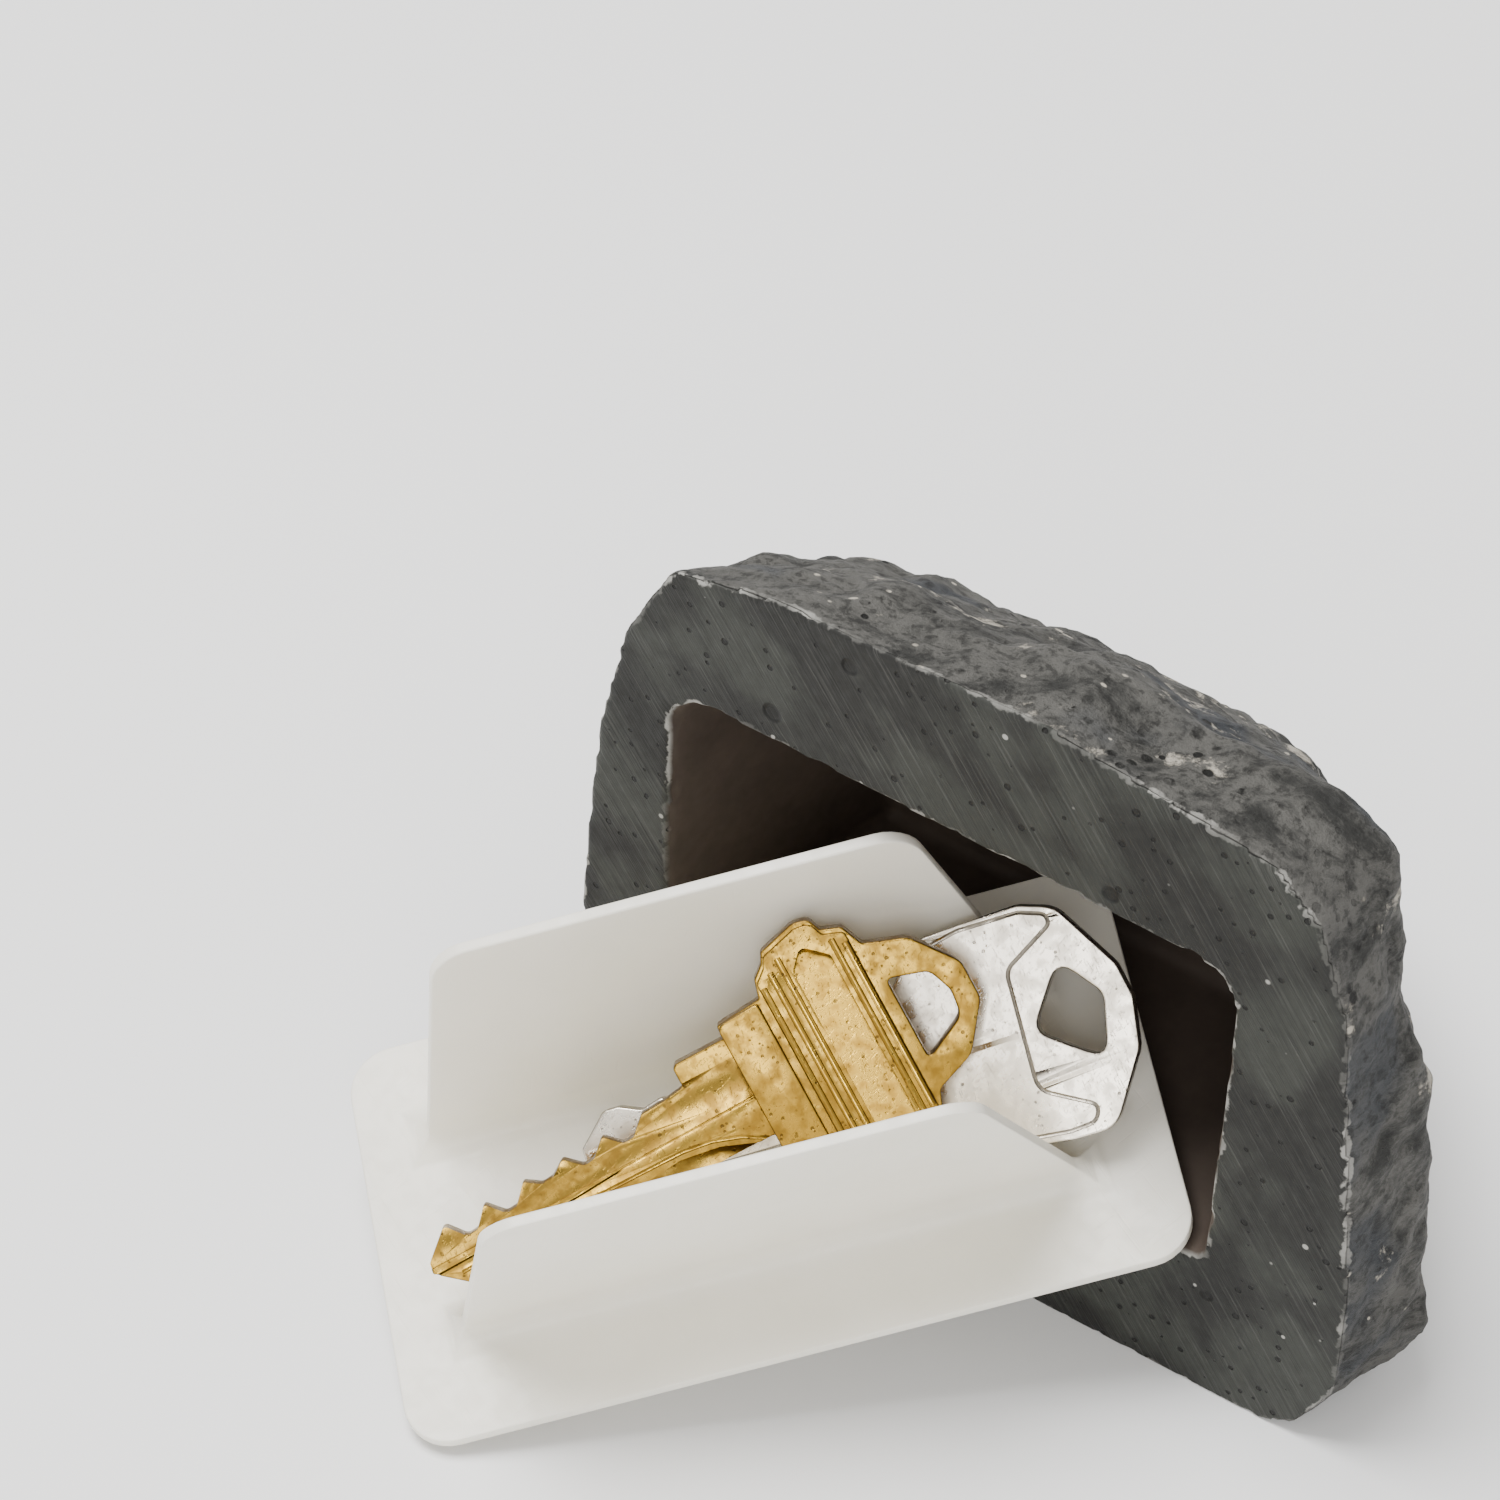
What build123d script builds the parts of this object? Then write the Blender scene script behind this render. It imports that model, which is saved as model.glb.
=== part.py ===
"""Hide a key rock, opened: a cast stone shell with a hollow, its key tray and two keys.

Millimetres. +Z is up from the floor. The shell lies on one long side, its sawn flat face
stands upright and looks along -Y, and +X runs along that face. The origin is on the floor
under the shell.
"""

from build123d import *

import os
from math import atan2, cos, degrees, hypot, radians, sin, tan

os.makedirs("parts", exist_ok=True)

# ---- Shell: sawn face, body and hollow --------------------------------------------------
face_y = -20.0           # plane of the sawn face
face_width = 86.5        # face along X
face_height = 72.0       # face along Z
face_shift_x = 1.7       # middle of the face from the middle of the mouth
rest_cut = 1.0           # depth worn off the side that the shell lies on

# The worn body narrows behind the sawn face. Each level has its depth behind the face, and
# how far its two ends and its left and right shoulders stand inside the face's own.
collar_depth, collar_left, collar_right = 12.0, 1.0, -3.2
collar_low_shoulder, collar_high_shoulder = 7.0, 0.0
waist_depth, waist_left, waist_right = 28.0, 6.0, 10.5
waist_low_shoulder, waist_high_shoulder = 18.0, 16.0
brow_depth, brow_left, brow_right = 41.0, 12.0, 19.0
brow_low_shoulder, brow_high_shoulder = 31.0, 29.5
crown_depth, crown_left, crown_right = 54.0, 22.0, 31.0
crown_low_shoulder, crown_high_shoulder = 46.0, 44.0
brow_lift = 2.0          # underside of the brow above the floor
crown_lift = 8.0         # underside of the crown above the floor
shoulder_slope = 5.4     # how far the right end leans in, from the floor to its top
lump_height = 1.4        # the body's lumps over its hollows
lump_pitch = 11.0        # from one lump to the next

mouth_width = 61.2
mouth_height = 36.8
mouth_z = 36.3           # middle of the mouth above the floor
mouth_roll = 1.9         # degrees, clockwise seen from the front
mouth_top_r = 4.5
mouth_lip_r = 1.2
hollow_depth = 28.4
hollow_end_length = 47.5
hollow_end_r = 2.0
hollow_draft = 7.0       # degrees, along its long walls

# ---- Key tray ---------------------------------------------------------------------------
tray_length = 75.2
plate_t = 1.3
plate_corner_r = 4.5
lip_overlap = 2.6        # the plate covers the mouth's rim by this much when shut
flange_h = 28.0
flange_t = 1.2
flange_top_length = 45.0
flange_top_r = 3.0
flange_root_inset = 10.4  # plate's edge to the outside of a flange, at its root
mouth_end_clearance = 0.45
tip_clearance = 0.3      # flange tips to the hollow's walls when shut

rest_x, rest_y = -23.4, -69.8   # corner of the plate that stands on the floor
tray_heading = 43.4      # degrees, tray's long axis from +X in plan
lip_clearance = 0.15     # plate's underside over the lip
floor_clearance = 0.1

# ---- Keys -------------------------------------------------------------------------------
brass_length = 57.0
brass_t = 2.2
brass_blade_w = 8.4
brass_blade_l = 34.0
brass_collar_w = 14.4
brass_collar_l = 4.6
brass_loop_l = 8.0       # the looped end of the bow, beyond its wide band
brass_stop_l = 5.4       # tab that stops the blade in a lock
brass_stop_w = 1.7
nickel_length = 54.0
nickel_t = 2.0
nickel_blade_w = 7.8
nickel_blade_l = 32.0
groove_depth = 0.5

# Places in the tray: along it, across from its middle, above the plate's underside
brass_roll = 38.0        # degrees
brass_rest_height = 10.0
brass_bow_clearance = 3.2
brass_tip_x, brass_tip_z = 6.0, 8.9
brass_end = (61.6, 4.5, 16.0)
brass_tip_clearance = 0.9
nickel_roll = 30.0       # degrees
nickel_rest_height = 5.0
nickel_bow_clearance = 1.2
nickel_tip = (21.7, 2.3, 4.3)
nickel_end = (75.3, 0.6, 11.6)


# ---- Planes shared by the pieces --------------------------------------------------------
def upright(depth: float) -> Plane:
    """Plane parallel to the sawn face, at a depth behind it; its X is +X, its Y is +Z."""
    return Plane(origin=(0, face_y + depth, 0), x_dir=(1, 0, 0), z_dir=(0, -1, 0))


lip_dir = Vector(cos(radians(mouth_roll)), 0, -sin(radians(mouth_roll)))
mouth_plane = Plane(origin=(0, face_y, mouth_z), x_dir=lip_dir, z_dir=(0, -1, 0))

tray_width = mouth_height + 2 * lip_overlap
lip_point = mouth_plane.from_local_coords(Vector(0, -mouth_height / 2 + lip_clearance, 0))
rest_point = Vector(rest_x, rest_y, floor_clearance)
tray_up = (lip_point - rest_point).cross(lip_dir).normalized() * -1
heading = Vector(cos(radians(tray_heading)), sin(radians(tray_heading)), 0)
heading -= Vector(0, 0, 1) * (heading.dot(tray_up) / tray_up.Z)
tray_plane = Plane(origin=rest_point, x_dir=heading.normalized(), z_dir=tray_up)


def in_tray(along: float, across: float, above: float) -> Vector:
    """Point given in the tray's own directions, in the shared frame."""
    return tray_plane.from_local_coords(Vector(along, across, above))


flange_root_length = mouth_width - 2 * mouth_end_clearance
flange_reach = flange_h - plate_t
root_offset = tray_width / 2 - flange_root_inset
tip_offset = mouth_height / 2 - flange_reach * tan(radians(hollow_draft)) - tip_clearance
flange_lean = degrees(atan2(tip_offset - root_offset, flange_reach))
flange_rise = flange_reach / cos(radians(flange_lean))


def trough_gap(height: float) -> float:
    """Clear width between the flanges at a height above the plate."""
    return 2 * (root_offset - flange_t + height * tan(radians(flange_lean)))


def key_plane(tip: tuple, end: tuple, roll: float) -> Plane:
    """Mid plane of a key: origin at its tip, X towards its bow, Y across it."""
    start, far = (in_tray(x, tray_width / 2 + y, z) for x, y, z in (tip, end))
    axis = (far - start).normalized()
    level = tray_plane.z_dir.cross(axis).normalized()
    normal = axis.cross(level).normalized()
    tilted = normal * cos(radians(roll)) - level * sin(radians(roll))
    return Plane(origin=start, x_dir=axis, z_dir=tilted)


# ---- Shell ------------------------------------------------------------------------------
left, right = face_shift_x - face_width / 2, face_shift_x + face_width / 2
face_outline = [
    (left + 14, 0), (left + 4.5, 7), (left, 23), (left + 2.5, 46), (left + 6, 60),
    (left + 11.5, face_height - 2), (left + 22, face_height), (right - 34, face_height),
    (right - 11.5, face_height - 3.5), (right - 6.5, face_height - 8), (right - 3, 54.5),
    (right, 21), (right - 0.5, 9), (right - 4, 2.5), (right - 10, 0),
]


def divided(outline: list) -> list:
    """Outline with its long sides divided, so that lumps stand about a pitch apart."""
    points = []
    for start, end in zip(outline, outline[1:] + outline[:1]):
        parts = max(1, round(hypot(end[0] - start[0], end[1] - start[1]) / lump_pitch))
        points += [
            (start[0] + (end[0] - start[0]) * part / parts,
             start[1] + (end[1] - start[1]) * part / parts)
            for part in range(parts)
        ]
    return points


def body_ring(from_left: float, from_right: float, low_shoulder: float,
              high_shoulder: float, lift: float, turn: float) -> list:
    """The face's outline drawn in from its ends and shoulders, with lumps round it."""
    ring = []
    for index, (x, z) in enumerate(divided(face_outline)):
        share = (x - left) / face_width
        lump = lump_height * (0.5 + 0.5 * sin(2.4 * index + turn))
        top = face_height - low_shoulder - (high_shoulder - low_shoulder) * share + lump
        drawn_in = from_right + shoulder_slope * z / face_height - lump
        ring.append((
            x + (from_left - lump) * (1 - share) - drawn_in * share,
            lift - rest_cut + z * (top - lift + rest_cut) / face_height,
        ))
    return ring


rings = [
    (0, [(x, z * (1 + rest_cut / face_height) - rest_cut) for x, z in divided(face_outline)]),
    (collar_depth, body_ring(collar_left, collar_right, collar_low_shoulder,
                             collar_high_shoulder, 0, 0)),
    (waist_depth, body_ring(waist_left, waist_right, waist_low_shoulder,
                            waist_high_shoulder, 0, 2.0)),
    (brow_depth, body_ring(brow_left, brow_right, brow_low_shoulder,
                           brow_high_shoulder, brow_lift, 4.0)),
    (crown_depth, body_ring(crown_left, crown_right, crown_low_shoulder,
                            crown_high_shoulder, crown_lift, 0)),
]

hollow_end_height = mouth_height - 2 * hollow_depth * tan(radians(hollow_draft))

with BuildPart() as rock_shell:
    for ring_depth, ring in rings:
        with BuildSketch(upright(ring_depth)):
            with BuildLine():
                Polyline(*ring, close=True)
            make_face()
    loft(ruled=True)
    split(bisect_by=Plane.XY, keep=Keep.TOP)
    for plane, length, height, top_r in (
        (mouth_plane, mouth_width, mouth_height, mouth_top_r),
        (mouth_plane.offset(-hollow_depth), hollow_end_length, hollow_end_height, hollow_end_r),
    ):
        with BuildSketch(plane) as hollow:
            Rectangle(length, height)
            fillet(hollow.vertices().sort_by(Axis.Y)[-2:], top_r)
            fillet(hollow.vertices().sort_by(Axis.Y)[:2], mouth_lip_r)
    loft(ruled=True, mode=Mode.SUBTRACT)
rock_shell.part.label = "rock_shell"

# ---- Key tray ---------------------------------------------------------------------------
with BuildPart() as key_tray:
    with BuildSketch(tray_plane):
        with Locations((tray_length / 2, tray_width / 2)):
            RectangleRounded(tray_length, tray_width, plate_corner_r)
    extrude(amount=plate_t)
    for side in (-1, 1):
        outward = tray_plane.y_dir * side
        lean = radians(flange_lean)
        foot = in_tray(tray_length / 2, tray_width / 2 + side * root_offset, plate_t)
        wall_plane = Plane(
            origin=foot,
            x_dir=tray_plane.x_dir * -side,
            z_dir=outward * cos(lean) - tray_plane.z_dir * sin(lean),
        )
        with BuildSketch(wall_plane) as wall:
            with BuildLine():
                Polyline(
                    (-flange_root_length / 2, -plate_t / 2),
                    (flange_root_length / 2, -plate_t / 2),
                    (flange_root_length / 2, 0),
                    (flange_top_length / 2, flange_rise),
                    (-flange_top_length / 2, flange_rise),
                    (-flange_root_length / 2, 0),
                    close=True,
                )
            make_face()
            fillet(wall.vertices().sort_by(Axis.Y)[-2:], flange_top_r)
        extrude(amount=-flange_t)
key_tray.part.label = "key_tray"

# ---- Nickel key -------------------------------------------------------------------------
nickel_bow_w = (
    trough_gap(nickel_rest_height) / cos(radians(nickel_roll)) - nickel_bow_clearance
)
half_blade = nickel_blade_w / 2
half_bow = nickel_bow_w / 2
bow_start = nickel_blade_l - 1
with BuildPart() as nickel_key:
    with BuildSketch(key_plane(nickel_tip, nickel_end, nickel_roll)):
        with BuildLine():
            Polyline(
                (0, -1), (0, 1), (3, half_blade), (bow_start, half_blade),
                (bow_start + 1.5, half_bow * 0.62), (bow_start + 5, half_bow * 0.96),
                (nickel_length - 8, half_bow), (nickel_length - 4.6, half_bow * 0.9),
                (nickel_length - 0.6, half_bow * 0.3), (nickel_length, 0),
                (nickel_length - 0.8, -half_bow * 0.42), (nickel_length - 5, -half_bow),
                (nickel_length - 9, -half_bow), (bow_start + 5, -half_bow * 0.9),
                (bow_start + 1.5, -half_bow * 0.62), (bow_start, -half_blade), (3, -half_blade),
                close=True,
            )
        make_face()
        with BuildLine():
            Polyline(
                (nickel_length - 9.8, -0.5), (nickel_length - 5.8, half_bow * 0.46),
                (nickel_length - 2.6, half_bow * 0.1), (nickel_length - 4, -half_bow * 0.43),
                close=True,
            )
        make_face(mode=Mode.SUBTRACT)
    extrude(amount=nickel_t / 2, both=True)
nickel_key.part.label = "nickel_key"

# ---- Brass key --------------------------------------------------------------------------
brass_bow_w = (
    trough_gap(brass_rest_height) / cos(radians(brass_roll)) - brass_bow_clearance
)
half_blade = brass_blade_w / 2
half_bow = brass_bow_w / 2
half_collar = brass_collar_w / 2
brass_tip_y = -(
    trough_gap(brass_tip_z) / 2 - half_blade * cos(radians(brass_roll)) - brass_tip_clearance
)
brass_plane = key_plane((brass_tip_x, brass_tip_y, brass_tip_z), brass_end, brass_roll)
tooth_pitch = 4.0
tooth_start = 3.0
tooth_relief = 3.0       # tips of the teeth, below the blade's back edge
tooth_depths = (4.5, 4.6, 5.0, 4.6, 4.0, 3.4)
teeth = []
for index, depth in enumerate(tooth_depths):
    tooth_x = tooth_start + index * tooth_pitch
    teeth.append((tooth_x + tooth_pitch / 2, half_blade - depth))
    teeth.append((tooth_x + tooth_pitch, half_blade - tooth_relief))
stop_start = brass_blade_l - brass_stop_l
band_start = brass_blade_l + brass_collar_l
band_end = brass_length - brass_loop_l
band_side = [
    (band_start, half_collar + 0.4), (band_start + 1.8, half_bow * 0.9),
    (band_end - 4.4, half_bow), (band_end - 2.6, half_bow * 0.88),
    (band_end - 0.6, half_bow * 0.82), (band_end + 0.6, half_bow * 0.54),
    (brass_length - 2, half_bow * 0.3),
]
with BuildPart() as brass_key:
    with BuildSketch(brass_plane):
        with BuildLine():
            Polyline(
                (0, -0.6), (0, 0.4), (tooth_start, half_blade - tooth_relief), *teeth,
                (stop_start, half_blade), (stop_start, half_blade + brass_stop_w),
                (brass_blade_l, half_blade + brass_stop_w), (brass_blade_l, half_collar),
                *band_side, (brass_length, 0),
                *[(x, -y) for x, y in reversed(band_side)],
                (brass_blade_l, -half_collar), (brass_blade_l, -half_blade), (4, -half_blade),
                close=True,
            )
        make_face()
        with BuildLine():
            Polyline(
                (brass_length - 7.2, half_bow * 0.3), (brass_length - 3.2, half_bow * 0.16),
                (brass_length - 2.6, -half_bow * 0.16), (brass_length - 7.2, -half_bow * 0.36),
                close=True,
            )
        make_face(mode=Mode.SUBTRACT)
    extrude(amount=brass_t / 2, both=True)
    with BuildSketch(brass_plane.offset(brass_t / 2)):
        with Locations((brass_blade_l / 2, -1.6)):
            Rectangle(brass_blade_l, 1.4)
    extrude(amount=-groove_depth, mode=Mode.SUBTRACT)
brass_key.part.label = "brass_key"

export_step(rock_shell.part, "parts/rock_shell.step")
export_step(key_tray.part, "parts/key_tray.step")
export_step(nickel_key.part, "parts/nickel_key.step")
export_step(brass_key.part, "parts/brass_key.step")
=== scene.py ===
"""Dresses the opened hide a key rock: its cast stone shell, its key tray and two keys.

Every piece is modelled in millimetres in its own lay, then settled into the shared frame in
metres, so that its object stays at the origin and its place is in its mesh.
"""

import logging
import math
from collections.abc import Callable, Iterator, Sequence
from contextlib import contextmanager
from dataclasses import dataclass, field
from enum import Enum

import bmesh
import bpy
import numpy as np
from mathutils import Matrix, Vector, noise
from mathutils.kdtree import KDTree


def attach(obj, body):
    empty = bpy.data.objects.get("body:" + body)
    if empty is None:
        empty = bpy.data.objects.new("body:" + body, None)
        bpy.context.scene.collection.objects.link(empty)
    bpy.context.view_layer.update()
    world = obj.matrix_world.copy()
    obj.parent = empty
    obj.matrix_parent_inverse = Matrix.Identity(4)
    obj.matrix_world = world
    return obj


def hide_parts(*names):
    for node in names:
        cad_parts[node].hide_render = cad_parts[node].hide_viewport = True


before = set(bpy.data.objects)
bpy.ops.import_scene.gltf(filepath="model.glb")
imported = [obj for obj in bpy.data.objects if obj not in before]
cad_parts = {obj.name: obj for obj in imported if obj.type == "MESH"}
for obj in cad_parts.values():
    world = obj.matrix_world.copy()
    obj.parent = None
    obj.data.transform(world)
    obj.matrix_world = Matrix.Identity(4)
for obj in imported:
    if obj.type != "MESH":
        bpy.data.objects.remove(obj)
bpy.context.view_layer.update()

log = logging.getLogger("hide_a_key_rock")
MM = 0.001

Point2 = tuple[float, float]
Point3 = tuple[float, float, float]


# ---- Bench tools ------------------------------------------------------------------------
def take(piece: bpy.types.Object) -> None:
    """Makes one object the only selected one, and the active one."""
    bpy.ops.object.select_all(action="DESELECT")
    piece.select_set(True)
    bpy.context.view_layer.objects.active = piece


def finish_with(piece: bpy.types.Object, kind: str, **settings: object) -> None:
    """Adds a modifier, sets it and applies it.

    Args:
        piece: The object that is shaped.
        kind: The modifier's type, such as BEVEL.
        settings: The modifier's own settings, by name.
    """
    take(piece)
    modifier = piece.modifiers.new(kind.title(), kind)
    for name, value in settings.items():
        setattr(modifier, name, value)
    bpy.ops.object.modifier_apply(modifier=modifier.name)


@contextmanager
def shaping(piece: bpy.types.Object, by: str = "VERT") -> Iterator[None]:
    """Opens an object in edit mode with nothing selected, and closes it again.

    Args:
        piece: The object that is shaped.
        by: VERT, EDGE or FACE, what a selection is made of.
    """
    take(piece)
    bpy.ops.object.mode_set(mode="EDIT")
    bpy.ops.mesh.select_mode(type=by)
    bpy.ops.mesh.select_all(action="DESELECT")
    yield
    bpy.ops.object.mode_set(mode="OBJECT")


def pick_edges(piece: bpy.types.Object, wanted: Callable[[Vector, Vector], bool]) -> None:
    """Selects the edges whose two ends pass a test, in edit mode.

    Args:
        piece: The object in edit mode.
        wanted: Takes the places of both ends.
    """
    mesh = bmesh.from_edit_mesh(piece.data)
    for edge in mesh.edges:
        edge.select_set(wanted(edge.verts[0].co, edge.verts[1].co))
    bmesh.update_edit_mesh(piece.data)


def pick_vertices(piece: bpy.types.Object, wanted: Callable[[Vector], bool]) -> None:
    """Selects the vertices whose place passes a test, in edit mode."""
    mesh = bmesh.from_edit_mesh(piece.data)
    for vertex in mesh.verts:
        vertex.select_set(wanted(vertex.co))
    mesh.select_flush_mode()
    bmesh.update_edit_mesh(piece.data)


def block(name: str, low: Point3, high: Point3) -> bpy.types.Object:
    """Adds a box between two corners, in millimetres.

    Args:
        name: The new object's name.
        low: Its lowest corner.
        high: Its highest corner.

    Returns:
        The box, with its place in its mesh.
    """
    bpy.ops.object.select_all(action="DESELECT")
    middle = [(a + b) / 2 for a, b in zip(low, high)]
    size = [b - a for a, b in zip(low, high)]
    bpy.ops.mesh.primitive_cube_add(size=1, location=middle, scale=size)
    piece = bpy.context.active_object
    piece.name = piece.data.name = name
    bpy.ops.object.transform_apply(location=True, rotation=True, scale=True)
    return piece


def carve(piece: bpy.types.Object, tool: bpy.types.Object, how: str = "DIFFERENCE") -> None:
    """Cuts a tool's shape out of a piece, or joins it on, and throws the tool away.

    Args:
        piece: The object that stays.
        tool: The object that cuts or is joined.
        how: DIFFERENCE or UNION.
    """
    finish_with(piece, "BOOLEAN", object=tool, operation=how, solver="EXACT")
    bpy.data.objects.remove(tool)


def settle(piece: bpy.types.Object, lay: Matrix) -> None:
    """Moves a finished piece from its own lay in millimetres into the shared frame.

    Args:
        piece: The finished piece, unturned and unscaled.
        lay: From the lay's axes to the shared frame's, both in millimetres.
    """
    piece.data.transform(Matrix.Scale(MM, 4) @ lay)
    piece.data.update()


def smooth(piece: bpy.types.Object, degrees: float = 35.0) -> None:
    """Shades a piece smooth, except over edges sharper than an angle."""
    take(piece)
    bpy.ops.object.shade_smooth_by_angle(angle=math.radians(degrees))


def rounded(corners: Sequence[tuple[float, float, float]], steps: int = 5) -> list[Point2]:
    """Outline whose corners are arcs.

    Args:
        corners: x, y and radius of each corner, in order.
        steps: How many lengths each arc has.

    Returns:
        The outline's points.
    """
    outline: list[Point2] = []
    for index, (x, y, radius) in enumerate(corners):
        here = Vector((x, y))
        to_last = Vector(corners[index - 1][:2]) - here
        to_next = Vector(corners[(index + 1) % len(corners)][:2]) - here
        angle = to_last.angle(to_next)
        if radius <= 0 or angle > math.radians(176):
            outline.append((x, y))
            continue
        reach = radius / math.tan(angle / 2)
        reach = min(reach, to_last.length * 0.48, to_next.length * 0.48)
        first, last = here + to_last.normalized() * reach, here + to_next.normalized() * reach
        for step in range(steps + 1):
            t = step / steps
            point = first * (1 - t) ** 2 + here * 2 * t * (1 - t) + last * t**2
            outline.append((point.x, point.y))
    return outline


def blank(
    name: str, outlines: Sequence[Sequence[Point2]], thickness: float, edge: float
) -> bpy.types.Object:
    """Stamped blank: a flat outline with holes, given a thickness and softened edges.

    Args:
        name: The new object's name.
        outlines: The rim, and then each hole.
        thickness: Its full thickness, centred on its own plane.
        edge: How much of the rim is softened.

    Returns:
        The blank as a mesh.
    """
    curve = bpy.data.curves.new(name, "CURVE")
    curve.dimensions, curve.fill_mode = "2D", "BOTH"
    curve.extrude, curve.bevel_depth = thickness / 2 - edge, edge
    curve.bevel_resolution, curve.offset = 2, -edge
    for outline in outlines:
        spline = curve.splines.new("POLY")
        spline.points.add(len(outline) - 1)
        for point, (x, y) in zip(spline.points, outline):
            point.co = (x, y, 0, 1)
        spline.use_cyclic_u = True
    piece = bpy.data.objects.new(name, curve)
    bpy.context.scene.collection.objects.link(piece)
    take(piece)
    bpy.ops.object.convert(target="MESH")
    with shaping(piece):
        bpy.ops.mesh.select_all(action="SELECT")
        bpy.ops.mesh.remove_doubles(threshold=0.005)
        bpy.ops.mesh.normals_make_consistent(inside=False)
    return piece


# ---- Where things lie -------------------------------------------------------------------
@dataclass(frozen=True)
class Lay:
    """Place and directions of a piece in the shared frame, in millimetres."""

    origin: Vector
    along: Vector
    up: Vector

    def matrix(self) -> Matrix:
        """From this lay's own axes to the shared frame."""
        up = self.up.normalized()
        along = (self.along - up * self.along.dot(up)).normalized()
        turn = Matrix((along, up.cross(along), up)).transposed().to_4x4()
        return Matrix.Translation(self.origin) @ turn


TRAY_LAY = Lay(
    Vector((-23.4, -69.8, 0.1)),
    Vector((0.707444, 0.668997, 0.227959)),
    Vector((0.031038, -0.351633, 0.935623)),
)


def key_lay(tip: Point3, end: Point3, roll: float) -> Lay:
    """Lay of a key in the tray.

    Args:
        tip: Its tip, along, across and above in the tray.
        end: The far end of its bow, in the same way.
        roll: Degrees that its flat leans about its own axis.

    Returns:
        A lay whose origin is the tip.
    """
    tray = TRAY_LAY.matrix()
    start, far = tray @ Vector(tip), tray @ Vector(end)
    axis = (far - start).normalized()
    level = TRAY_LAY.up.cross(axis).normalized()
    lean = math.radians(roll)
    up = axis.cross(level).normalized() * math.cos(lean) - level * math.sin(lean)
    return Lay(start, axis, up)


# ---- Shader bench -----------------------------------------------------------------------
class Wiring:
    """Places nodes in one shader tree and links them."""

    def __init__(self, tree: bpy.types.NodeTree) -> None:
        """Starts on a tree that already exists."""
        self.tree = tree

    def put(self, kind: str, inputs: dict | None = None, **options: object) -> bpy.types.Node:
        """Adds one node.

        Args:
            kind: The node's type, without ShaderNode.
            inputs: Values or sockets, by the input's name or number.
            options: The node's own settings.

        Returns:
            The new node.
        """
        node = self.tree.nodes.new("ShaderNode" + kind)
        for name, value in options.items():
            setattr(node, name, value)
        for name, value in (inputs or {}).items():
            if isinstance(value, bpy.types.NodeSocket):
                self.tree.links.new(value, node.inputs[name])
            else:
                node.inputs[name].default_value = value
        return node

    def sum(self, kind: str, first: object, second: object = 0.0, clamp: bool = False) -> object:
        """One step of arithmetic; returns its result socket."""
        node = self.put("Math", {0: first, 1: second}, operation=kind, use_clamp=clamp)
        return node.outputs[0]

    def band(self, value: object, low: float, high: float) -> object:
        """Soft step from 0 at low to 1 at high; high may be the lower one."""
        node = self.put(
            "MapRange", {"Value": value, "From Min": low, "From Max": high},
            interpolation_type="SMOOTHSTEP",
        )
        return node.outputs[0]

    def blend(self, share: object, first: object, second: object, how: str = "MIX") -> object:
        """Mixes two colours by a share and returns the colour socket."""
        node = self.put("Mix", {0: share, 6: first, 7: second}, data_type="RGBA", blend_type=how)
        return node.outputs[2]

    def stain(self, mask: object, strength: float, base: object, tint: object) -> object:
        """Lays a tint over a colour by a mask and a strength; returns the colour socket."""
        return self.blend(self.sum("MULTIPLY", mask, strength), base, tint)

    def add(self, value: object, times: float, rest: object) -> object:
        """Adds a value, times a number, to the rest; returns the result socket."""
        node = self.put("Math", {0: value, 1: times, 2: rest}, operation="MULTIPLY_ADD")
        return node.outputs[0]

    def stretched(self, place: object, turn: Point3, size: Point3) -> object:
        """Place turned and divided, so that noise of scale 1 is drawn out along its own axes.

        Args:
            place: The point that the pattern reads.
            turn: Degrees about X, Y and Z from the shared axes to the pattern's own.
            size: Length of the pattern's features along each of its own axes, in metres.

        Returns:
            The socket of the pattern's point.
        """
        node = self.put("Mapping", {"Vector": place, "Scale": size,
                                    "Rotation": [math.radians(angle) for angle in turn]},
                        vector_type="TEXTURE")
        return node.outputs[0]

    def give(self, shader: bpy.types.Node, **sockets: object) -> None:
        """Links or sets the shader's inputs, named with underscores for spaces."""
        for name, value in sockets.items():
            target = shader.inputs[name.replace("_", " ")]
            if isinstance(value, bpy.types.NodeSocket):
                self.tree.links.new(value, target)
            else:
                target.default_value = value

    def grain(self, place: object, size: float, detail: float = 4, rough: float = 0.55,
              twist: float = 0.0) -> object:
        """Soft noise whose features have a size in metres; returns its value."""
        node = self.put("TexNoise", {"Vector": place, "Scale": 1 / size, "Detail": detail,
                                     "Roughness": rough, "Distortion": twist})
        return node.outputs["Fac"]


def colour(red: float, green: float, blue: float) -> tuple[float, float, float, float]:
    """Opaque linear colour."""
    return (red, green, blue, 1.0)


def new_material(name: str) -> tuple[bpy.types.Material, Wiring, bpy.types.Node]:
    """Empty material with its Principled BSDF.

    Returns:
        The material, its wiring and the shader node.
    """
    material = bpy.data.materials.new(name)
    material.use_nodes = True
    shader = material.node_tree.nodes["Principled BSDF"]
    return material, Wiring(material.node_tree), shader


# ---- Shell ------------------------------------------------------------------------------
class Zone(Enum):
    """Kinds of surface on the shell, and the attribute that marks each."""

    SKIN = "skin"
    HOLLOW = "hollow"
    RIM = "rim"


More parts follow.
